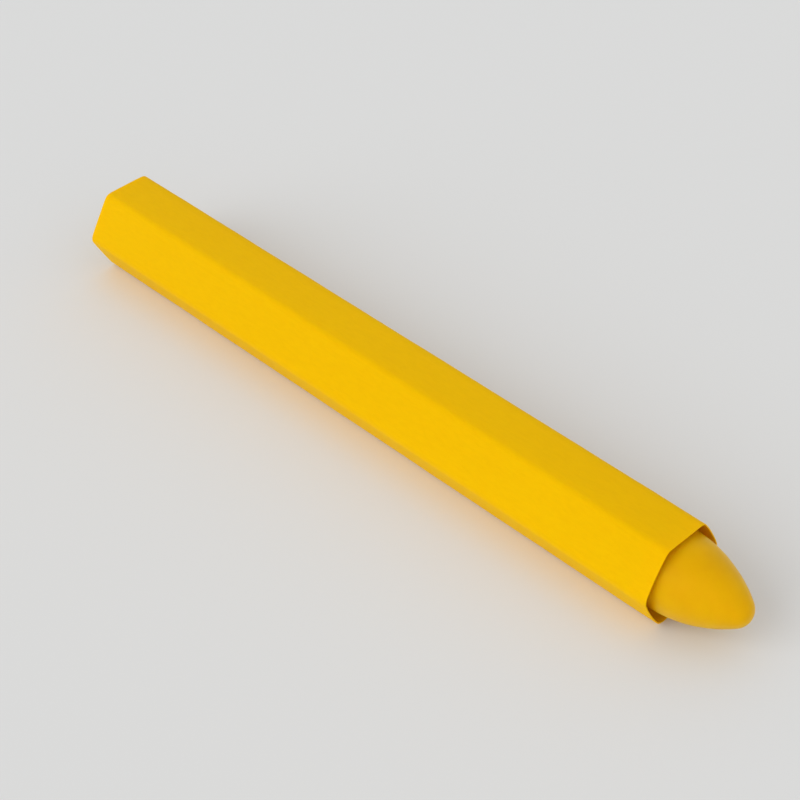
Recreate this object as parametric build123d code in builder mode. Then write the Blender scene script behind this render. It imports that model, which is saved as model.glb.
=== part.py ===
from build123d import *
from math import atan2, cos, pi, radians, sin, sqrt
import os

# Tire marking crayon: a moulded hexagonal stick of marking wax with a blunt
# round nose, wrapped in one sheet of plain paper that is creased on the six
# corners and glued in a lap.
#
# Frame: X runs along the crayon, +X towards the nose. Z is up. The crayon lies
# on one flat of its sleeve at Z = 0, and the origin is at the bottom centre of
# its box. Millimetres.

# ---------------------------------------------------------------- dimensions
LENGTH = 110.0            # butt of the sleeve to the point of the nose
SLEEVE_LENGTH = 100.0     # width of the paper sheet, which is the sleeve's length

WAX_FLATS = 11.8          # across the flats of the wax
WAX_CORNER_R = 1.0        # moulded corners
GLUE_FILM = 0.02          # between wax and paper, on each flat
PAPER = 0.15              # thickness of the paper

BUTT_RECESS = 0.4         # wax stands this far inside the sleeve's butt end
BUTT_EDGE_R = 0.3

NOSE_BASE_R = 5.35        # round nose where it leaves the shoulder
NOSE_SIDE_R = 18.2        # long arc of the nose's side
NOSE_TIP_R = 2.3          # blunt end
SHOULDER_ANGLE = 45.0     # the hexagon runs out on this cone
SHOULDER_R = 0.4          # root of the shoulder

LAP_TOP_GAP = 1.5         # outer edge of the lap, short of the side corner
LAP_START = 1.1           # inner edge of the sheet, up from the bottom corner
LAP_RAMP = 0.4            # length in which the outer turn climbs onto the lap

# ------------------------------------------------------------------- derived
BORE_FLATS = WAX_FLATS + 2 * GLUE_FILM
SLEEVE_FLATS = BORE_FLATS + 2 * PAPER
BORE_CORNER_R = WAX_CORNER_R + GLUE_FILM
SLEEVE_CORNER_R = BORE_CORNER_R + PAPER

AXIS_Z = SLEEVE_FLATS / 2
BUTT_X = -LENGTH / 2
NOSE_X = LENGTH / 2
WAX_BUTT_X = BUTT_X + BUTT_RECESS

# nose: a side arc that starts parallel to the axis, and a tangent end arc
end_c = NOSE_X - NOSE_TIP_R
side_c = end_c - sqrt((NOSE_SIDE_R - NOSE_TIP_R) ** 2 - (NOSE_SIDE_R - NOSE_BASE_R) ** 2)
side_cz = NOSE_BASE_R - NOSE_SIDE_R
meet_angle = atan2(-side_cz, end_c - side_c)
SHOULDER_X = side_c

crayon_axis = Axis((0, 0, AXIS_Z), (1, 0, 0))


def corner(flats, k):
    """Corner k of a hexagon with flats at top and bottom, in (Y, Z)."""
    r = flats / 2 / cos(pi / 6)
    a = radians(60 * k)
    return (r * cos(a), AXIS_Z + r * sin(a))


def on_lap_flat(flats, up, out=0.0):
    """A point on the lower +Y flat, `up` from its bottom corner, `out` proud of it."""
    y0, z0 = corner(flats, 5)
    y1, z1 = corner(flats, 0)
    side = flats / 2 / cos(pi / 6)
    ty, tz = (y1 - y0) / side, (z1 - z0) / side
    return (y0 + ty * up + tz * out, z0 + tz * up - ty * out)


def round_corners(sketch, flats, radius):
    """Round the six corners of the hexagon, and leave the sheet's edges square."""
    spots = [Vector(*corner(flats, k), 0) for k in range(6)]
    picked = [v for v in sketch.vertices()
              if any((Vector(*v) - s).length < 1e-4 for s in spots)]
    assert len(picked) == 6, "a corner of the sleeve is missing"
    fillet(picked, radius=radius)


# ----------------------------------------------------------------- wax stick
# The mould is a hexagonal cavity that closes on a shoulder cone and the nose.
with BuildPart() as wax_stick:
    with BuildSketch(Plane.YZ.offset(WAX_BUTT_X)) as wax_section:
        with Locations((0, AXIS_Z)):
            RegularPolygon(radius=WAX_FLATS / 2, side_count=6, major_radius=False)
        fillet(wax_section.vertices(), radius=WAX_CORNER_R)
    extrude(amount=NOSE_X - WAX_BUTT_X)

    run_out_r = WAX_FLATS * 0.7
    run_out_x = SHOULDER_X - (run_out_r - NOSE_BASE_R) / sin(radians(SHOULDER_ANGLE)) * cos(radians(SHOULDER_ANGLE))
    with BuildSketch(Plane.XZ) as mould_profile:
        with BuildLine():
            Line((WAX_BUTT_X, AXIS_Z), (WAX_BUTT_X, AXIS_Z + run_out_r))
            Line((WAX_BUTT_X, AXIS_Z + run_out_r), (run_out_x, AXIS_Z + run_out_r))
            Line((run_out_x, AXIS_Z + run_out_r), (SHOULDER_X, AXIS_Z + NOSE_BASE_R))
            mid = (pi / 2 + meet_angle) / 2
            meet = (side_c + NOSE_SIDE_R * cos(meet_angle),
                    AXIS_Z + side_cz + NOSE_SIDE_R * sin(meet_angle))
            ThreePointArc((SHOULDER_X, AXIS_Z + NOSE_BASE_R),
                          (side_c + NOSE_SIDE_R * cos(mid), AXIS_Z + side_cz + NOSE_SIDE_R * sin(mid)),
                          meet)
            ThreePointArc(meet,
                          (end_c + NOSE_TIP_R * cos(meet_angle / 2), AXIS_Z + NOSE_TIP_R * sin(meet_angle / 2)),
                          (NOSE_X, AXIS_Z))
            Line((NOSE_X, AXIS_Z), (WAX_BUTT_X, AXIS_Z))
        make_face()
        shoulder_root = mould_profile.vertices().sort_by_distance((SHOULDER_X, AXIS_Z + NOSE_BASE_R, 0))[0]
        fillet(shoulder_root, radius=SHOULDER_R)
    revolve(axis=crayon_axis, revolution_arc=360, mode=Mode.INTERSECT)

    butt_face = wax_stick.faces().sort_by(Axis.X)[0]
    fillet(butt_face.edges(), radius=BUTT_EDGE_R)

wax_stick.part.label = "wax_stick"

# -------------------------------------------------------------- paper sleeve
# One sheet, wrapped once round the wax. Its inner edge starts on the lower +Y
# flat, near the bottom corner. The sheet goes up and over the top, down the
# -Y side and under the crayon, then climbs over its own inner edge and is
# glued down on itself, ending a little short of the +Y corner.
section_plane = Plane.YZ.offset(BUTT_X)
outer_side = SLEEVE_FLATS / 2 / cos(pi / 6)   # a hexagon's side is as long as its corner radius

with BuildPart() as paper_sleeve:
    with BuildSketch(section_plane) as sleeve_outline:
        with BuildLine():
            Polyline(
                corner(SLEEVE_FLATS, 5),
                on_lap_flat(SLEEVE_FLATS, LAP_START),
                on_lap_flat(SLEEVE_FLATS, LAP_START + LAP_RAMP, PAPER),
                on_lap_flat(SLEEVE_FLATS, outer_side - LAP_TOP_GAP, PAPER),
                on_lap_flat(SLEEVE_FLATS, outer_side - LAP_TOP_GAP),
                corner(SLEEVE_FLATS, 0),
                corner(SLEEVE_FLATS, 1),
                corner(SLEEVE_FLATS, 2),
                corner(SLEEVE_FLATS, 3),
                corner(SLEEVE_FLATS, 4),
                close=True,
            )
        make_face()
        round_corners(sleeve_outline, SLEEVE_FLATS, SLEEVE_CORNER_R)
    extrude(amount=SLEEVE_LENGTH)

    with BuildSketch(section_plane) as sleeve_bore:
        with BuildLine():
            Polyline(
                corner(BORE_FLATS, 5),
                on_lap_flat(BORE_FLATS, LAP_START),
                on_lap_flat(BORE_FLATS, LAP_START + LAP_RAMP, PAPER),
                on_lap_flat(BORE_FLATS, LAP_START + LAP_RAMP),
                corner(BORE_FLATS, 0),
                corner(BORE_FLATS, 1),
                corner(BORE_FLATS, 2),
                corner(BORE_FLATS, 3),
                corner(BORE_FLATS, 4),
                close=True,
            )
        make_face()
        round_corners(sleeve_bore, BORE_FLATS, BORE_CORNER_R)
    extrude(amount=SLEEVE_LENGTH, mode=Mode.SUBTRACT)

paper_sleeve.part.label = "paper_sleeve"

# --------------------------------------------------------------------- write
os.makedirs("parts", exist_ok=True)
export_step(wax_stick.part, "parts/wax_stick.step")
export_step(paper_sleeve.part, "parts/paper_sleeve.step")
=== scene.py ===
import bpy
import math
from mathutils import Vector, Matrix, noise


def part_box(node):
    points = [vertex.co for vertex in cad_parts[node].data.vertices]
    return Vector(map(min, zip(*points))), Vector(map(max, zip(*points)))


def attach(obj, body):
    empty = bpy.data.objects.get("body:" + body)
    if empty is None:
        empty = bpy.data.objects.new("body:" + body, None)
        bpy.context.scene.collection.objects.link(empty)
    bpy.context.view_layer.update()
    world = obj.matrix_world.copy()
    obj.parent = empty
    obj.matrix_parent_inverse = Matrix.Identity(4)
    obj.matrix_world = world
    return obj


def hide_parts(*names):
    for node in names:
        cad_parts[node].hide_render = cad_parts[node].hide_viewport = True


# Tire marking crayon, lying on one flat of its sleeve.
# +X towards the nose, +Z up, metres. Lengths below are in millimetres and are
# turned into metres where the vertices are written.

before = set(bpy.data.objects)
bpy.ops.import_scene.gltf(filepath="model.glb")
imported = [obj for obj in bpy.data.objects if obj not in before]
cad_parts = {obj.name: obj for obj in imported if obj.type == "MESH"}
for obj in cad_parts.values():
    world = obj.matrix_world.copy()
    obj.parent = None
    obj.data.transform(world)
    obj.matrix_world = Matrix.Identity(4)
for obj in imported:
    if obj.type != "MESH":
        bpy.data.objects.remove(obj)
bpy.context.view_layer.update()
scene = bpy.context.scene
MM = 0.001

wax_lo, wax_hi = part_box("wax_stick")
slv_lo, slv_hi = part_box("paper_sleeve")

# ------------------------------------------------------------------ sizes, mm
NOSE_X = wax_hi[0] / MM                 # point of the nose
WAX_BUTT_X = wax_lo[0] / MM
BUTT_X = slv_lo[0] / MM                 # sleeve's butt end
MOUTH_X = slv_hi[0] / MM                # sleeve's mouth
AXIS_Z = (slv_lo[2] + slv_hi[2]) / 2 / MM
SLEEVE_FLATS = (slv_hi[2] - slv_lo[2]) / MM
WAX_FLATS = (wax_hi[2] - wax_lo[2]) / MM
PAPER = 0.15
BORE_R = 1.02
WAX_R = 1.0
BASE_R, SIDE_R, TIP_R = 5.35, 18.2, 2.3
LAP_IN = -1.92                          # inner edge of the sheet, from the flat's middle
LAP_OUT = 2.0                           # outer edge of the sheet
APO = SLEEVE_FLATS / 2 - PAPER          # inner face of the sheet

end_c = NOSE_X - TIP_R
side_c = end_c - math.sqrt((SIDE_R - TIP_R) ** 2 - (SIDE_R - BASE_R) ** 2)
side_cz = BASE_R - SIDE_R
meet = math.atan2(-side_cz, end_c - side_c)
SHOULDER_X = side_c
COS30 = math.cos(math.pi / 6)


def wob(x, y, z, size, seed):
    """Smooth seeded unevenness from about -1 to 1, over `size` mm."""
    return noise.noise(Vector((x / size + seed * 17.3, y / size - seed * 9.1, z / size + seed * 5.7)))


def smooth(t):
    t = max(0.0, min(1.0, t))
    return t * t * (3 - 2 * t)


def mesh_object(name, verts, faces, material, smooth_faces=True):
    me = bpy.data.meshes.new(name)
    # the face lists run clockwise seen from outside, so they are turned round here
    me.from_pydata([(x * MM, y * MM, z * MM) for x, y, z in verts], [], [tuple(reversed(f)) for f in faces])
    me.validate()
    for p in me.polygons:
        p.use_smooth = smooth_faces
    me.materials.append(material)
    ob = bpy.data.objects.new(name, me)
    scene.collection.objects.link(ob)
    return ob


# ------------------------------------------------------------------ materials
def new_material(name):
    m = bpy.data.materials.new(name)
    m.use_nodes = True
    nt = m.node_tree
    nt.nodes.clear()
    out = nt.nodes.new("ShaderNodeOutputMaterial")
    bsdf = nt.nodes.new("ShaderNodeBsdfPrincipled")
    nt.links.new(bsdf.outputs["BSDF"], out.inputs["Surface"])
    return m, nt, bsdf


def node(nt, kind, **sets):
    n = nt.nodes.new(kind)
    for k, v in sets.items():
        if k in n.inputs:
            n.inputs[k].default_value = v
        else:
            setattr(n, k, v)
    return n


def noise_tex(nt, coord, scale, detail=4.0, rough=0.55, stretch=(1, 1, 1), turn=(0, 0, 0)):
    mp = node(nt, "ShaderNodeMapping")
    mp.inputs["Scale"].default_value = stretch
    mp.inputs["Rotation"].default_value = turn
    nt.links.new(coord, mp.inputs["Vector"])
    n = node(nt, "ShaderNodeTexNoise")
    n.inputs["Scale"].default_value = scale
    n.inputs["Detail"].default_value = detail
    n.inputs["Roughness"].default_value = rough
    nt.links.new(mp.outputs["Vector"], n.inputs["Vector"])
    return n.outputs["Fac"]


def ramp(nt, fac, stops):
    r = nt.nodes.new("ShaderNodeValToRGB")
    cr = r.color_ramp
    while len(cr.elements) > len(stops):
        cr.elements.remove(cr.elements[-1])
    while len(cr.elements) < len(stops):
        cr.elements.new(0.5)
    for e, (p, c) in zip(cr.elements, stops):
        e.position = p
        e.color = (*c, 1.0) if len(c) == 3 else c
    nt.links.new(fac, r.inputs["Fac"])
    return r.outputs["Color"]


def mixed(nt, a, b, fac, kind="MIX"):
    m = nt.nodes.new("ShaderNodeMix")
    m.data_type = "RGBA"
    m.blend_type = kind
    for s, v in ((m.inputs[0], fac), (m.inputs[6], a), (m.inputs[7], b)):
        if hasattr(v, "links"):
            nt.links.new(v, s)
        else:
            s.default_value = v if not isinstance(v, tuple) else (*v, 1.0)
    return m.outputs[2]


def maths(nt, op, a, b=None, c=None):
    m = nt.nodes.new("ShaderNodeMath")
    m.operation = op
    for i, v in enumerate((a, b, c)):
        if v is None:
            continue
        if hasattr(v, "links"):
            nt.links.new(v, m.inputs[i])
        else:
            m.inputs[i].default_value = v
    return m.outputs[0]


def bump(nt, height, dist, strength=1.0, normal=None):
    b = nt.nodes.new("ShaderNodeBump")
    b.inputs["Strength"].default_value = strength
    b.inputs["Distance"].default_value = dist
    nt.links.new(height, b.inputs["Height"])
    if normal is not None:
        nt.links.new(normal, b.inputs["Normal"])
    return b.outputs["Normal"]


def paper_material():
    m, nt, bsdf = new_material("yellow_paper")
    co = node(nt, "ShaderNodeTexCoord").outputs["Object"]
    cloud = noise_tex(nt, co, 70.0, 3.0, 0.5, (0.45, 1, 1))
    fibre = noise_tex(nt, co, 2600.0, 3.0, 0.6, (0.28, 1, 1), (0.0, 0.0, 0.25))
    speck = noise_tex(nt, co, 1500.0, 2.0, 0.5)
    base = ramp(nt, cloud, [(0.30, (0.920, 0.497, 0.0005)), (0.70, (0.955, 0.522, 0.0008))])
    tooth = ramp(nt, fibre, [(0.30, (0.93, 0.91, 0.80)), (0.62, (1.0, 1.0, 1.0))])
    col = mixed(nt, base, tooth, 0.45, "MULTIPLY")
    nt.links.new(col, bsdf.inputs["Base Color"])
    # thin paper lets a little light through, which shows at the free lip
    bsdf.inputs["Subsurface Weight"].default_value = 0.35
    bsdf.inputs["Subsurface Radius"].default_value = (1.0, 0.70, 0.05)
    bsdf.inputs["Subsurface Scale"].default_value = 0.0004
    bsdf.inputs["IOR"].default_value = 1.45
    bsdf.inputs["Specular IOR Level"].default_value = 0.12
    bsdf.inputs["Specular Tint"].default_value = (1.0, 0.66, 0.06, 1.0)
    rough = maths(nt, "MULTIPLY_ADD", speck, 0.16, 0.56)
    nt.links.new(rough, bsdf.inputs["Roughness"])
    n1 = bump(nt, fibre, 0.00003, 0.28)
    n2 = bump(nt, speck, 0.00005, 0.22, n1)
    nt.links.new(n2, bsdf.inputs["Normal"])
    return m


def wax_material():
    m, nt, bsdf = new_material("yellow_wax")
    co = node(nt, "ShaderNodeTexCoord").outputs["Object"]
    cloud = noise_tex(nt, co, 240.0, 4.0, 0.55)
    grain = noise_tex(nt, co, 1900.0, 3.0, 0.6)
    base = ramp(nt, cloud, [(0.28, (0.755, 0.416, 0.0008)), (0.72, (0.815, 0.466, 0.0014))])
    nt.links.new(base, bsdf.inputs["Base Color"])
    bsdf.inputs["Subsurface Weight"].default_value = 1.0
    bsdf.inputs["Subsurface Radius"].default_value = (1.0, 0.68, 0.10)
    bsdf.inputs["Subsurface Scale"].default_value = 0.0018
    bsdf.inputs["IOR"].default_value = 1.44
    bsdf.inputs["Specular IOR Level"].default_value = 0.24
    bsdf.inputs["Specular Tint"].default_value = (1.0, 0.74, 0.16, 1.0)
    rough = maths(nt, "MULTIPLY_ADD", cloud, 0.16, 0.36)
    nt.links.new(rough, bsdf.inputs["Roughness"])
    n1 = bump(nt, cloud, 0.00012, 0.30)
    n2 = bump(nt, grain, 0.00003, 0.28, n1)
    nt.links.new(n2, bsdf.inputs["Normal"])
    return m


PAPER_MAT = paper_material()
WAX_MAT = wax_material()


# ---------------------------------------------------------------- paper sheet
T30 = math.tan(math.pi / 6)
LIP_R = (1.45, 1.25, 1.12, 1.95, 1.55, 1.35)      # inner radius of each corner at the relaxed mouth
END_R = (1.15, 1.25, 1.10, 1.30, 1.15, 1.20)      # and at the butt, which the wax still backs


def sheet_row(radii):
    """The inner face of the wrapped sheet at one station, for six corner radii:
    [(y, z, ny, nz, w, a, j)] from its inner edge to its outer edge. On a flat, w runs
    from -1 to 1 and a is None. On a corner, a runs from -1 to 1 and w is None."""
    out = []

    def half(k):
        return (APO - radii[k % 6]) * T30

    def flat(j, t0, t1, n, off=None, first=True):
        ang = math.radians(60 * j + 30)
        ny, nz = math.cos(ang), math.sin(ang)
        for i in range(0 if first else 1, n + 1):
            t = t0 + (t1 - t0) * i / n
            o = off(t) if off else 0.0
            w = t / half(j) if t < 0 else t / half(j + 1)
            out.append(((APO + o) * ny - t * nz, (APO + o) * nz + t * ny, ny, nz, w, None, j))

    def arc(k, n=10):
        rc = radii[k]
        d = (APO - rc) / COS30
        a0 = math.radians(60 * k)
        for i in range(1, n):
            ang = a0 + math.radians(-30 + 60 * i / n)
            ny, nz = math.cos(ang), math.sin(ang)
            out.append((d * math.cos(a0) + rc * ny, d * math.sin(a0) + rc * nz, ny, nz, None, -1 + 2 * i / n, k))

    climb = PAPER + 0.006

    def off(t):
        return climb * smooth((t - (LAP_IN - 0.42)) / 0.42)

    flat(5, LAP_IN, half(0), 14)
    for k in range(0, 5):
        arc(k)
        flat(k, -half(k), half(k + 1), 16)
    arc(5)
    last = len(out)
    flat(5, -half(5), LAP_IN - 0.42, 3)
    flat(5, LAP_IN - 0.42, LAP_IN, 8, off, first=False)
    flat(5, LAP_IN, LAP_OUT, 12, off, first=False)
    # on the climb the sheet's face turns with its path
    for i in range(last, len(out)):
        p, q = out[i - 1], out[min(i + 1, len(out) - 1)]
        ty, tz = q[0] - p[0], q[1] - p[1]
        s = math.hypot(ty, tz)
        o = out[i]
        out[i] = (o[0], o[1], tz / s, -ty / s, o[4], o[5], o[6])
    return out


def stations(length):
    """Where the sheet's rows lie: close together at both cut ends."""
    xs = [0.0, 0.1, 0.25, 0.45, 0.7, 1.0, 1.4, 1.9]
    x = 2.5
    while x < length - 4.3:
        xs.append(x)
        x += 0.6
    return xs + [length - v for v in (4.0, 3.6, 3.2, 2.8, 2.45, 2.1, 1.8, 1.5, 1.2, 0.95, 0.7, 0.5, 0.3, 0.15, 0.05, 0.0)]


def build_sheet():
    length = MOUTH_X - BUTT_X
    xs = stations(length)
    verts, inner, outer = [], [], []
    for dx in xs:
        x0 = BUTT_X + dx
        lip = smooth((x0 - (SHOULDER_X - 1.6)) / (MOUTH_X - SHOULDER_X + 1.6))
        end = smooth((3.0 - dx) / 3.0)
        radii = []
        for k in range(6):
            r = BORE_R + 0.16 * (0.5 + 0.5 * wob(x0, 0, 0, 7.0, 40 + k))
            r += (LIP_R[k] - r) * lip + (END_R[k] - r) * end * 0.7
            radii.append(max(BORE_R, r))
        path = sheet_row(radii)
        row_i, row_o = [], []
        for y, z, ny, nz, w, a, j in path:
            ang = math.atan2(z, y)
            cy, cz = 6 * math.cos(ang), 6 * math.sin(ang)
            # the two cut ends are not dead straight
            cut_m = 0.07 * (0.5 + 0.5 * wob(cy, cz, 0, 4.0, 3)) + 0.022 * (0.5 + 0.5 * wob(y, z, 0, 0.7, 4))
            cut_b = 0.06 * (0.5 + 0.5 * wob(cy, cz, 9, 4.0, 5)) + 0.022 * (0.5 + 0.5 * wob(y, z, 9, 0.7, 6))
            x = x0 + cut_b * smooth((4.0 - dx) / 4.0) - cut_m * smooth((dx - (length - 4.0)) / 4.0)
            # the sheet's own unevenness only ever lies inside its true outline
            d = -0.014 + 0.010 * wob(x, y, z, 11.0, 1) + 0.004 * wob(x, y, z, 3.0, 2)
            # the hand-made creases wander a little from side to side
            if a is not None:
                side, near, k = math.sin(a * math.pi / 2), 1.0, j
            else:
                near = smooth((abs(w) - 0.62) / 0.38)
                side, k = (-near, (j + 1) % 6) if w > 0 else (near, j)
            d += 0.030 * side * (wob(x, 0, 0, 6.5, 60 + k) + 0.5 * wob(x, 0, 0, 2.3, 70 + k)) - 0.030 * near
            # beyond the wax the free lip bows out between its corners
            if a is None and j in (0, 2, 3, 5):
                d += (0.10 if j in (2, 3) else 0.07) * lip * (1 - w * w)
            elif a is None and j in (1, 4):
                d -= 0.02 * lip * (1 - w * w)
            if j in (1, 4) and a is None and d > 0:
                d = 0.0
            py, pz = y + ny * d, z + nz * d
            verts.append((x, py, pz + AXIS_Z))
            row_i.append(len(verts) - 1)
            verts.append((x, py + ny * PAPER, pz + nz * PAPER + AXIS_Z))
            row_o.append(len(verts) - 1)
        inner.append(row_i)
        outer.append(row_o)
    m = len(inner[0])
    faces = []
    for r in range(len(xs) - 1):
        for c in range(m - 1):
            a, b = outer[r], outer[r + 1]
            faces.append((a[c], b[c], b[c + 1], a[c + 1]))
            a, b = inner[r], inner[r + 1]
            faces.append((a[c], a[c + 1], b[c + 1], b[c]))
        # the two long cut edges of the sheet
        faces.append((inner[r][0], inner[r + 1][0], outer[r + 1][0], outer[r][0]))
        faces.append((inner[r][-1], outer[r][-1], outer[r + 1][-1], inner[r + 1][-1]))
    for c in range(m - 1):
        faces.append((inner[0][c], outer[0][c], outer[0][c + 1], inner[0][c + 1]))
        faces.append((inner[-1][c], inner[-1][c + 1], outer[-1][c + 1], outer[-1][c]))
    ob = mesh_object("sleeve_sheet", verts, faces, PAPER_MAT)
    me = ob.data
    # the cut edges stay crisp
    sharp = me.attributes.new("sharp_edge", "BOOLEAN", "EDGE")
    cut = set()
    for row in (inner[0], outer[0], inner[-1], outer[-1]):
        for c in range(m - 1):
            cut.add(tuple(sorted((row[c], row[c + 1]))))
    for r in range(len(xs) - 1):
        for col in (inner, outer):
            cut.add(tuple(sorted((col[r][0], col[r + 1][0]))))
            cut.add(tuple(sorted((col[r][-1], col[r + 1][-1]))))
    for k, c in ((0, 0), (0, -1), (-1, 0), (-1, -1)):
        cut.add(tuple(sorted((inner[k][c], outer[k][c]))))
    for e in me.edges:
        if tuple(sorted(e.vertices)) in cut:
            sharp.data[e.index].value = True
    return ob


# ------------------------------------------------------------------ wax stick
def hex_r(a, apo, rc):
    """Distance from the axis to a rounded hexagon with flats at top and bottom, at angle a."""
    k = round(a / (math.pi / 3))
    f = abs(a - k * math.pi / 3)
    d = (apo - rc) / COS30
    ft = math.atan2(rc * 0.5, d + rc * COS30)
    if f < ft:
        return d * math.cos(f) + math.sqrt(rc * rc - (d * math.sin(f)) ** 2)
    return apo / math.cos(math.pi / 6 - f)


def ogive_r(x):
    if x <= SHOULDER_X:
        return BASE_R
    if x < side_c + SIDE_R * math.cos(meet):
        return side_cz + math.sqrt(max(0.0, SIDE_R ** 2 - (x - side_c) ** 2))
    return math.sqrt(max(0.0, TIP_R ** 2 - (x - end_c) ** 2))


def smin(a, b, k):
    h = max(k - abs(a - b), 0.0) / k
    return min(a, b) - h * h * k / 4


def smax(a, b, k):
    return -smin(-a, -b, k)


def envelope_r(x):
    cone = BASE_R + (SHOULDER_X - x)
    if x > SHOULDER_X + 0.8:
        return ogive_r(x)
    return smax(cone, ogive_r(x), 0.35)


def build_wax():
    n = 168
    apo = WAX_FLATS / 2
    # butt: rounded edge, then the body, the shoulder and the nose
    rows = [(WAX_BUTT_X + 0.3 * (1 - math.cos(math.radians(18 * i))),
             -0.3 * (1 - math.sin(math.radians(18 * i)))) for i in range(0, 6)]
    x = WAX_BUTT_X + 1.0
    while x < SHOULDER_X - 4.0:
        rows.append((x, 0.0))
        x += 2.0
    x = SHOULDER_X - 3.0
    while x < SHOULDER_X + 0.9:
        rows.append((x, 0.0))
        x += 0.14
    steps = 52
    a0 = math.asin((x - side_c) / SIDE_R)
    a1 = math.pi / 2 - meet
    for i in range(steps):
        a = a0 + (a1 - a0) * i / steps
        rows.append((side_c + SIDE_R * math.sin(a), 0.0))
    steps = 18
    for i in range(steps):
        a = meet * (1 - i / steps)
        rows.append((end_c + TIP_R * math.cos(a), 0.0))
    verts, rings = [], []
    for x, inset in rows:
        ring = []
        env = envelope_r(x)
        for i in range(n):
            a = 2 * math.pi * i / n
            hx = hex_r(a, apo, WAX_R) + inset - 0.05
            r = smin(hx, env, 0.12) if env < 8 else hx
            if x > SHOULDER_X:
                y, z = r * math.cos(a), r * math.sin(a)
                fade = smooth((x - SHOULDER_X) / 1.5)
                u = 0.030 * wob(x, y, z, 5.0, 11) + 0.010 * wob(x, y, z, 1.6, 12)
                r += fade * u * min(1.0, r / 2.0)
            verts.append((x, r * math.cos(a), r * math.sin(a) + AXIS_Z))
            ring.append(len(verts) - 1)
        rings.append(ring)
    faces = []
    for p, q in zip(rings, rings[1:]):
        for i in range(n):
            k = (i + 1) % n
            faces.append((p[i], q[i], q[k], p[k]))
    # nose point
    verts.append((NOSE_X, 0.0, AXIS_Z))
    tip = len(verts) - 1
    for i in range(n):
        faces.append((rings[-1][i], tip, rings[-1][(i + 1) % n]))
    # butt face, in rings, with the faint unevenness of a trimmed casting
    prev = rings[0]
    for f in (0.93, 0.8, 0.62, 0.42, 0.2):
        ring = []
        for i in range(n):
            a = 2 * math.pi * i / n
            r = (hex_r(a, apo, WAX_R) - 0.35) * f
            y, z = r * math.cos(a), r * math.sin(a)
            lift = 0.05 * (0.5 + 0.5 * wob(0, y, z, 3.0, 21)) * smooth((1 - f) / 0.3)
            verts.append((WAX_BUTT_X + lift, y, z + AXIS_Z))
            ring.append(len(verts) - 1)
        for i in range(n):
            k = (i + 1) % n
            faces.append((ring[i], prev[i], prev[k], ring[k]))
        prev = ring
    verts.append((WAX_BUTT_X + 0.03, 0.0, AXIS_Z))
    c = len(verts) - 1
    for i in range(n):
        faces.append((c, prev[i], prev[(i + 1) % n]))
    return mesh_object("wax_casting", verts, faces, WAX_MAT)


sheet = build_sheet()
wax = build_wax()
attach(sheet, "root")
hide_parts("paper_sleeve")
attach(wax, "root")
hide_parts("wax_stick")

# ---------------------------------------------------------------------- stage
fm, fnt, fb = new_material("pale_floor")
fb.inputs["Base Color"].default_value = (0.790, 0.797, 0.801, 1)
fb.inputs["Roughness"].default_value = 0.9
fb.inputs["Specular IOR Level"].default_value = 0.0
fl = bpy.data.meshes.new("floor")
fl.from_pydata([(-4, -4, 0), (4, -4, 0), (4, 4, 0), (-4, 4, 0)], [], [(0, 1, 2, 3)])
fl.materials.append(fm)
floor = bpy.data.objects.new("floor", fl)
scene.collection.objects.link(floor)

world = bpy.data.worlds.new("studio")
scene.world = world
world.use_nodes = True
bg = world.node_tree.nodes["Background"]
bg.inputs["Color"].default_value = (1.0, 0.990, 0.975, 1)
bg.inputs["Strength"].default_value = 0.69


def soft_light(name, towards, angle, strength, colour):
    """A very wide, distant light, so that the floor is lit evenly from every side."""
    d = bpy.data.lights.new(name, "SUN")
    d.angle = math.radians(angle)
    d.energy = strength
    d.color = colour
    o = bpy.data.objects.new(name, d)
    scene.collection.objects.link(o)
    o.location = Vector(towards) * -1.0
    o.rotation_mode = "QUATERNION"
    o.rotation_quaternion = Vector(towards).to_track_quat("-Z", "Y")
    return o


soft_light("key", (0.22, 0.84, -0.50), 50, 1.10, (0.985, 1.0, 1.01))
soft_light("front", (-0.80, 0.45, -0.40), 60, 0.20, (1.0, 0.998, 0.99))

# --------------------------------------------------------------------- camera
# The photograph's station and roll about the crayon, aimed at its middle.
station = Vector((137.8, -144.0, 176.1)) * MM
right0 = Vector((0.719788, 0.693989, 0.016885))
aim = Vector((-1.0, 0.0, 5.0)) * MM
forward = (aim - station).normalized()
right = (right0 - forward * right0.dot(forward)).normalized()
up = right.cross(forward)
cam_data = bpy.data.cameras.new("camera")
cam = bpy.data.objects.new("camera", cam_data)
scene.collection.objects.link(cam)
rot = Matrix((right, up, -forward)).transposed()
cam.matrix_world = Matrix.Translation(station) @ rot.to_4x4()
cam_data.sensor_width = 36.0
cam_data.lens = 92.0
cam_data.clip_start = 0.005
cam_data.clip_end = 20
scene.camera = cam

scene.view_settings.view_transform = "Standard"
scene.view_settings.look = "None"
scene.view_settings.exposure = 0.0
scene.view_settings.gamma = 1.0
